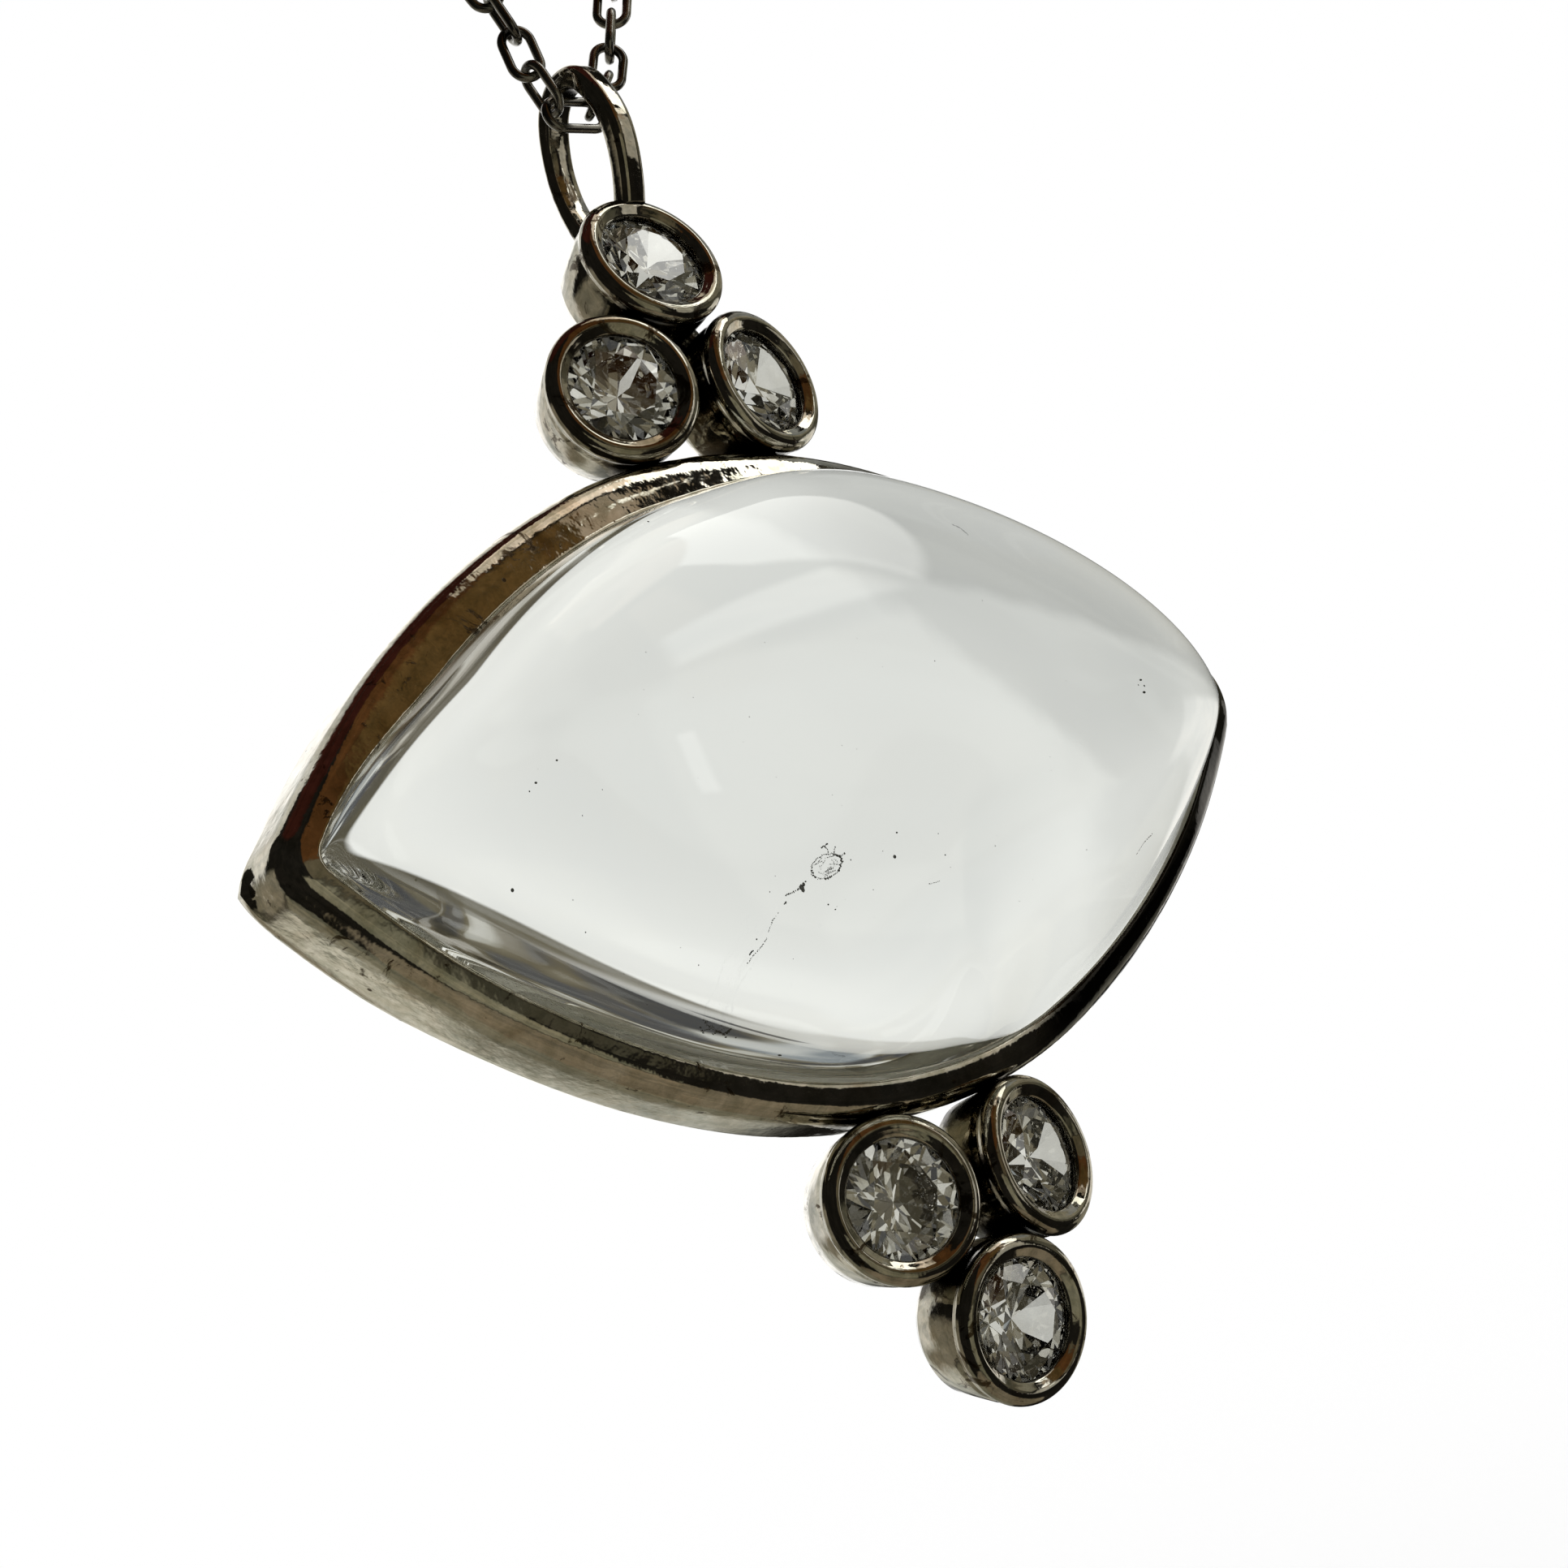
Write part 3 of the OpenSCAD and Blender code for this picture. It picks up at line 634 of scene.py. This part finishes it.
def bail():
    """The section spun round the oval's four arcs, worn at the back, bent in front and cut at its foot."""
    bm = bmesh.new()
    end_z = BAIL_H/2 - BAIL_END_R
    side_r = ((BAIL_Y/2)**2 + end_z**2 - BAIL_END_R**2)/(BAIL_Y - 2*BAIL_END_R)
    side_a = math.asin(end_z/(side_r - BAIL_END_R))
    side_c = BAIL_Y/2 - side_r
    last = closed_loop(bm, [(side_c + side_r + out, 0, across) for out, across in bail_section()])
    end_a = math.pi - 2*side_a
    bends = [((side_c, 0, 0), side_a, 16), ((0, end_z, 0), end_a, 32), ((-side_c, 0, 0), 2*side_a, 32),
             ((0, -end_z, 0), end_a, 32), ((side_c, 0, 0), side_a, 16)]
    for centre, angle, count in bends:
        bent = bmesh.ops.spin(bm, geom=last, cent=centre, axis=(0, 0, 1), angle=angle, steps=count)
        last = [g for g in bent["geom_last"] if not isinstance(g, bmesh.types.BMFace)]
    upright = (Matrix.Translation(BAIL_C) @ Matrix.Rotation(math.radians(90), 4, "Z")
               @ Matrix.Rotation(math.radians(90), 4, "X"))
    bmesh.ops.transform(bm, matrix=upright, verts=bm.verts)
    bmesh.ops.remove_doubles(bm, verts=bm.verts, dist=0.0005)
    for v in bm.verts:
        if v.co.y < BAIL_C[1]:
            v.co += BAIL_BEND*ease(BAIL_C[2] + BEND_STARTS - v.co.z, 0, BEND_OVER)
        if v.co.y > BAIL_C[1] + BAIL_Y/2:
            v.co.y -= (v.co.y - BAIL_C[1] - BAIL_Y/2)*(1 - BAIL_BACK)
    made = bmesh.ops.bisect_plane(bm, geom=bm.verts[:] + bm.edges[:] + bm.faces[:], clear_outer=True,
                                  plane_co=(0, 0, BAIL_FOOT_Z), plane_no=(0, 0, -1))
    cut = [g for g in made["geom_cut"] if isinstance(g, bmesh.types.BMEdge)]
    bmesh.ops.edgeloop_fill(bm, edges=cut)
    return piece_of(bm, "bail", shaded_cup_silver, "pendant")


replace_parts(bail(), "setting")

# The main stone
# Clear quartz, cut with a flat back and a steep, full dome in front, and polished. A few dark specks of
# another mineral lie inside it.
DOME_RISE = 3.5
# Across the stone the dome follows sin(t)**FULL outwards and cos(t)**FULL up, which makes it full with steep
# sides, and cos(t)**GENTLE up on its lower right side, which is less steep
FULL, GENTLE, GENTLE_FROM_X = 0.8, 2.2, 5
# Along it the dome falls towards the tips as (1 - x**RIDGE_X)**RIDGE_UP, with x in half lengths
RIDGE_X, RIDGE_UP = 5, 0.9
# The colour of quartz, and how much darker than it the painted shade makes the stone's front in each place
QUARTZ_TINT, PAINTED_SHADE_TINT = (0.965, 0.975, 0.96, 1), (0.0, 0.0, 0.0, 1)
UPPER_PAINTED_SHADE, RIGHT_PAINTED_SHADE = 0.27, 0.24
# The painted shade lies past straight lines on the front, each as (X part, Z part, their sum on the line,
# softness)
UPPER_LINES = [(0.37, 1, 5.2, 0.35), (1, 0, 0.5, 2.5)]
RIGHT_LINES = [(1, 1, 4.6, 0.6), (-0.786, 1, -10.2, 0.6), (0, 1, -3.2, 0.6)]
CORNER_LINES = [(1, 0.3, 5.0, 1.2), (0.786, -1, 8.6, 1.0)]


def clear_quartz():
    """Quartz with painted shade over its front, grey as of a room behind it, at its upper right and right
    tip.
    """
    material, s = new_material("clear_quartz")
    place = s.node("ShaderNodeTexCoord").outputs["Object"]
    within, at = in_pendant(s, place)
    cloud = s.node("ShaderNodeTexNoise", Vector=within, Scale=0.5, Detail=2.0).outputs["Fac"]
    x = s.math("ADD", at["X"], s.math("MULTIPLY", s.math("SUBTRACT", cloud, 0.5), 1.5))
    z = at["Z"]

    def past(lines):
        """1 past all of the lines, which a slow noise bends, and 0 before one of them."""
        inside = 1.0
        for x_part, z_part, line, soft in lines:
            side = s.math("ADD", s.math("MULTIPLY", x, x_part), s.math("MULTIPLY", z, z_part))
            inside = s.math("MULTIPLY", inside, s.smooth(side, line - soft, line + soft))
        return inside

    right = s.math("MAXIMUM", past(RIGHT_LINES), past(CORNER_LINES))
    # Painted shade: the front's tint greys where the room seen through the stone is darker
    painted_shade = s.math("ADD", s.math("MULTIPLY", past(UPPER_LINES), UPPER_PAINTED_SHADE),
                  s.math("MULTIPLY", right, RIGHT_PAINTED_SHADE))
    in_front = s.smooth(at["Y"], -0.2, 0.0, 1.0, 0.0)
    tint = s.mix(s.math("MULTIPLY", painted_shade, in_front), QUARTZ_TINT, PAINTED_SHADE_TINT)
    polish = s.node("ShaderNodeTexNoise", Vector=within, Scale=0.09, Detail=0.0)
    skin = s.node("ShaderNodeBump", Strength=0.1, Distance=0.02*MM, Height=polish.outputs["Fac"])
    glass = s.node("ShaderNodeBsdfPrincipled", Base_Color=tint, Roughness=0.0, IOR=1.544,
                   Transmission_Weight=1.0, Normal=skin)
    s.node("ShaderNodeOutputMaterial", Surface=glass)
    return material


def main_stone():
    """A grid that follows the outline one way and the dome the other, with a wall below and a flat back."""
    edge = outline(-FIT_GAP)
    half = edge[-1][0]
    along = 2*(len(edge) - 1)
    bm = bmesh.new()
    bmesh.ops.create_grid(bm, x_segments=along, y_segments=64, size=1)
    for v in bm.verts:
        k = round(v.co.x*along/2)
        x, width = edge[abs(k)]
        c, t = wave_of(90*v.co.y)
        x = math.copysign(x, k)
        rise = DOME_RISE*(1 - abs(x/half)**RIDGE_X)**RIDGE_UP
        gentle = ease(x, 0, GENTLE_FROM_X) if k > 0 and t < 0 else 0
        fall = FULL + (GENTLE - FULL)*gentle
        if t > 0:
            width -= TUCK*between(x, *TUCK_ALONG)
        v.co = (x, -rise*max(0, c)**fall, max(0.01, width)*math.copysign(abs(t)**FULL, t))
    rim = [e for e in bm.edges if e.is_boundary]
    wall = bmesh.ops.extrude_edge_only(bm, edges=rim)["geom"]
    for v in [g for g in wall if isinstance(g, bmesh.types.BMVert)]:
        v.co.y = STONE_DEPTH
    bmesh.ops.contextual_create(bm, geom=[g for g in wall if isinstance(g, bmesh.types.BMEdge)])
    return piece_of(bm, "main_stone", clear_quartz(), "pendant", sharp=30.0)


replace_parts(main_stone(), "quartz")

# Specks of a dark mineral inside the quartz, all at about one depth: single grains, as (x, z, size)
SPECK_Y = -1.0
SPECKS = [
    (-4.18, -3.55, 0.075), (-4.14, -3.62, 0.055), (-4.12, -3.5, 0.05), (-4.0, -3.43, 0.03),
    (-2.46, -2.95, 0.035), (-2.31, -3.15, 0.03), (-0.8, -3.33, 0.05), (-0.47, -2.71, 0.035),
    (-1.13, -3.11, 0.02), (1.02, -3.57, 0.03), (-1.83, -4.04, 0.016), (-5.2, -3.46, 0.018),
    (-3.5, -4.15, 0.024), (-3.27, -4.3, 0.024), (-6.0, -4.53, 0.03), (-12.4, -1.93, 0.05),
    (-10.23, 0.93, 0.032), (-10.96, 0.48, 0.035), (-11.2, 0.3, 0.022), (10.9, 0.34, 0.05),
    (10.89, -0.03, 0.06), (11.0, 0.16, 0.035), (10.72, 0.2, 0.03), (-4.44, 7.16, 0.03),
]
# Threads of small grains: the grains' size, and the places that the thread runs through
THREADS = [
    (0.026, [(-4.25, -3.56), (-4.35, -3.59), (-4.74, -3.66)]),
    (0.022, [(-4.78, -3.82), (-4.87, -3.85)]),
    (0.012, [(-5.12, -4.02), (-5.16, -4.06)]),
    (0.014, [(-5.27, -4.12), (-5.38, -4.18), (-5.56, -4.41)]),
    (0.015, [(-5.67, -4.57), (-5.96, -4.77), (-6.2, -4.89), (-6.43, -5.04)]),
    (0.03, [(-6.15, -4.75), (-6.33, -4.85)]),
    (0.024, [(-3.17, -2.67), (-2.91, -2.59)]),
    (0.022, [(-3.02, -2.64), (-2.99, -2.83)]),
    (0.02, [(-2.85, -2.95), (-2.71, -2.74)]),
    (0.024, [(-2.63, -3.02), (-2.5, -2.96)]),
    (0.012, [(0.1, -4.24), (0.5, -4.24)]),
    (0.014, [(5.85, 5.9), (6.05, 5.8), (6.3, 5.52)]),
    (0.016, [(9.75, -4.0), (9.3, -4.2), (8.9, -4.5)]),
]
# A cluster like a small net: its centre and two half axes, the pieces of its rim and the threads across it,
# and the sizes of the grains in the heavy and the light pieces of its rim and in its threads
NET_AT, NET_LONG, NET_SHORT = Vector((-3.18, -3.17)), Vector((0.55, 0.03)), Vector((-0.07, -0.3))
NET_RIM, NET_THREADS = 26, 17
HEAVY, LIGHT, FINE = 0.034, 0.018, 0.011
SCATTERED = 40


def specks():
    chance = random.Random(5)
    bm = bmesh.new()

    def grain(x, z, size):
        at = Matrix.Translation((x, SPECK_Y + chance.uniform(-0.06, 0.06), z))
        shape = Matrix.Diagonal((chance.uniform(0.7, 1.3), 1, chance.uniform(0.7, 1.3), 1))
        bmesh.ops.create_icosphere(bm, subdivisions=1, radius=size, matrix=at @ shape)

    def thread(size, places):
        for a, b in zip(places, places[1:]):
            a, b = Vector(a), Vector(b)
            for t in steps(0, 1, 1 + int((b - a).length/(1.5*size))):
                x, z = a + (b - a)*t
                grain(x + chance.gauss(0, 0.006), z + chance.gauss(0, 0.006), size*chance.uniform(0.6, 1.1))

    def in_net(turn, far):
        return NET_AT + far*(NET_LONG*math.cos(turn) + NET_SHORT*math.sin(turn))

    for x, z, size in SPECKS:
        grain(x, z, size)
    for size, places in THREADS:
        thread(size, places)
    rim = steps(0, math.tau, NET_RIM)
    for a, b in zip(rim, rim[1:]):
        size = HEAVY if math.cos(a + 0.4) > 0.75 or chance.random() < 0.2 else LIGHT
        thread(size, [in_net(a, chance.uniform(0.93, 1.05)), in_net(b, chance.uniform(0.93, 1.05))])
    for _ in range(NET_THREADS):
        turn, far = chance.uniform(0, math.tau), chance.uniform(0.2, 0.9)
        end = in_net(turn + chance.uniform(0.5, 1.4), chance.uniform(0.4, 0.95))
        thread(FINE, [in_net(turn, far), end])
    for _ in range(SCATTERED):
        grain(chance.uniform(-11, 8), chance.uniform(-5.5, 3.5), chance.uniform(0.008, 0.017))
    material, s = new_material("dark_mineral")
    dull = s.node("ShaderNodeBsdfPrincipled", Base_Color=(0.045, 0.05, 0.04, 1), Roughness=0.6)
    s.node("ShaderNodeOutputMaterial", Surface=dull)
    return piece_of(bm, "specks", material, "pendant")


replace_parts(specks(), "quartz")

# The small stones
# Six round brilliants, cut from a clear stone that bends light more than quartz does, so that their facets
# sparkle white and dark.


def brilliant_stone():
    material, s = new_material("brilliant_stone")
    place = s.node("ShaderNodeTexCoord").outputs["Object"]
    dust = s.node("ShaderNodeTexNoise", Vector=place, Scale=900.0, Detail=2.0)
    tint = s.ramp(dust.outputs["Fac"], [(0.35, (0.77, 0.77, 0.74, 1)), (0.7, (0.65, 0.64, 0.60, 1))])
    glass = s.node("ShaderNodeBsdfPrincipled", Base_Color=tint, Roughness=0.0, IOR=2.15,
                   Transmission_Weight=1.0)
    s.node("ShaderNodeOutputMaterial", Surface=glass)
    return material


def dress(node, material):
    """Gives a CAD node its finish."""
    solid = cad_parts[node]
    solid.data.materials.clear()
    solid.data.materials.append(material)


gem_glass = brilliant_stone()
for name, *_ in CUPS:
    dress("gem_" + name, gem_glass)

# The chain
# A fine cable chain of soldered oval links, blackened and then polished by wear. A longer link passes through
# the bail, and on both sides the links hang one in the other up to the clasp.


def dark_silver():
    material, s = new_material("dark_silver")
    place = s.node("ShaderNodeTexCoord").outputs["Object"]
    patches = s.node("ShaderNodeTexNoise", Vector=place, Scale=900.0, Detail=3.0)
    colour = s.ramp(patches.outputs["Fac"], [(0.35, (0.17, 0.165, 0.155, 1)), (0.65, (0.42, 0.41, 0.38, 1))])
    rough = s.smooth(patches.outputs["Fac"], 0.3, 0.7, 0.14, 0.28)
    metal = s.node("ShaderNodeBsdfPrincipled", Base_Color=colour, Metallic=1.0, Roughness=rough)
    s.node("ShaderNodeOutputMaterial", Surface=metal)
    return material


blackened = dark_silver()
LOOSE_LINKS = ["link_carrier"] + [f"link_{side}_{k}" for side in ("left", "right") for k in (1, 2, 3, 4)]
for name in LOOSE_LINKS:
    dress(name, blackened)

WIRE_D = 0.3
LINK_W, LINK_L = 1.25, 1.95
BEND_R = (LINK_W - WIRE_D)/2
LINK_GAP = 0.06
PITCH = LINK_L - 2*WIRE_D - LINK_GAP
LINK_STEPS, WIRE_SIDES, CURVE_STEPS = 12, 5, 40
# The first link's turn about the strand, and how far the others stray from quarter turns, in degrees
FIRST_TURN = 58
SWAY, SWAY_STEP = 5, 2.4
# The rest of each strand, as (x, z): the centre of its first link, the places that it hangs through, and the
# centre of its last link, which hooks the clasp's ring
STRANDS = {
    "left": [(-2.526, -171.27), (-14, -146), (-25, -121), (-36, -95.8), (-47.2, -70.5), (-50.75, -58.5),
             (-51.25, -45.5), (-48.4, -32.4), (-42.2, -20.5), (-33.1, -10.5), (-21.8, -3.2), (-12.5, 0.1),
             (-5.53, 1.5)],
    "right": [(3.489, -171.7), (14.2, -146.5), (25.2, -121.2), (36.2, -95.8), (47.2, -70.5), (50.75, -58.5),
              (51.25, -45.5), (48.4, -32.4), (42.2, -20.5), (33.1, -10.5), (21.8, -3.2), (12.5, 0.1),
              (5.53, 1.5)],
}


def plain_link():
    """Mesh of one link of few faces, its length along Z and its width along X."""
    bm = bmesh.new()
    half_step = math.pi/LINK_STEPS
    bmesh.ops.create_circle(bm, segments=WIRE_SIDES, radius=WIRE_D/2,
                            matrix=Matrix.Rotation(half_step, 4, "Y") @ Matrix.Translation((BEND_R, 0, 0)))
    bmesh.ops.spin(bm, geom=bm.verts[:] + bm.edges[:], cent=(0, 0, 0), axis=(0, 1, 0), angle=math.tau,
                   steps=LINK_STEPS, use_merge=True)
    for v in bm.verts:
        v.co.z += math.copysign((LINK_L - LINK_W)/2, v.co.z)
    mesh = bpy.data.meshes.new("plain_link")
    bm.to_mesh(mesh)
    bm.free()
    return mesh


def link_places(points):
    """Places a link's pitch apart on a smooth curve through the points."""
    route = [Vector((x, 0, z)) for x, z in points]
    route = [2*route[0] - route[1]] + route + [2*route[-1] - route[-2]]
    curve = []
    for a, b, c, d in zip(route, route[1:], route[2:], route[3:]):
        curve += [0.5*(2*b + t*(c - a) + t*t*(2*a - 5*b + 4*c - d) + t**3*(3*b - a - 3*c + d))
                  for t in steps(0, 1, CURVE_STEPS)[:-1]]
    curve.append(route[-2])
    far = np.cumsum([0] + [(b - a).length for a, b in zip(curve, curve[1:])])
    marks = np.linspace(0, far[-1], round(far[-1]/PITCH) + 1)
    return [Vector((x, 0, z)) for x, z in zip(np.interp(marks, far, [p.x for p in curve]),
                                               np.interp(marks, far, [p.z for p in curve]))]


def strand(side, link):
    """A strand in which each link hangs in the one before it, a quarter turn from it.

    A slow twist brings the last link, which hooks the clasp's ring, to lie nearly square to it.
    """
    bm = bmesh.new()
    places = link_places(STRANDS[side])
    count = len(places) - 1
    twist = (180 - FIRST_TURN - 90*count) % 180 - 90
    for k, place in enumerate(places):
        along = places[min(k + 1, count)] - places[max(k - 1, 0)]
        turn = FIRST_TURN + 90*k + twist*k/count + SWAY*math.sin(SWAY_STEP*k)
        to_strand = (Matrix.Translation(place) @ Matrix.Rotation(math.atan2(along.x, along.z), 4, "Y")
                     @ Matrix.Rotation(math.radians(turn), 4, "Z"))
        bm.from_mesh(link)
        bm.verts.ensure_lookup_table()
        bmesh.ops.transform(bm, verts=bm.verts[-len(link.vertices):], matrix=to_strand)
    return piece_of(bm, "strand_" + side, blackened, "chain", at=(0, 0, 0), sharp=80.0)


link = plain_link()
for side in STRANDS:
    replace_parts(strand(side, link), "chain_" + side)

# The clasp
# A plain barrel of blackened silver in two halves that screw together, with two turned grooves in each half
# and a wire ring soldered to each end.
CLASP_D, CLASP_L = 3.0, 8.0
CLASP_END_R = 0.6
GROOVES_AT, GROOVE_DEEP = (2.3, 2.7), 0.08
RING_R, RING_WIRE = 0.55, 0.4


def barrel_clasp():
    bm = bmesh.new()
    clasp_r = CLASP_D/2
    end = [(clasp_r - CLASP_END_R*(1 - c), CLASP_L/2 - CLASP_END_R*(1 - s))
           for c, s in map(wave_of, steps(0, 90, 9))]
    half = [(clasp_r - 0.12, 0), (clasp_r - 0.12, 0.05), (clasp_r - 0.03, 0.09), (clasp_r, 0.16)]
    for at in GROOVES_AT:
        half += [(clasp_r, at - 0.1), (clasp_r - GROOVE_DEEP, at - 0.04),
                 (clasp_r - GROOVE_DEEP, at + 0.04), (clasp_r, at + 0.1)]
    half += end + [(0, CLASP_L/2)]
    line = [(r, -x) for r, x in reversed(half)] + half[1:]
    verts = [bm.verts.new((x, r, 0)) for r, x in line]
    edges = [bm.edges.new(pair) for pair in zip(verts, verts[1:])]
    bmesh.ops.spin(bm, geom=verts + edges, cent=(0, 0, 0), axis=(1, 0, 0), angle=math.tau, steps=64,
                   use_merge=True)
    for way in (-1, 1):
        hole = (way*(CLASP_L/2 + RING_R), 0, 0)
        at = Matrix.Translation(hole) @ Matrix.Translation((RING_R, 0, 0))
        made = bmesh.ops.create_circle(bm, segments=16, radius=RING_WIRE/2, matrix=at)
        wire = made["verts"] + list({e for v in made["verts"] for e in v.link_edges})
        bmesh.ops.spin(bm, geom=wire, cent=hole, axis=(0, 1, 0), angle=math.tau, steps=40, use_merge=True)
    return piece_of(bm, "barrel_clasp", blackened, "chain", at=(0, 0, CLASP_D/2), sharp=40.0)


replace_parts(barrel_clasp(), "clasp")
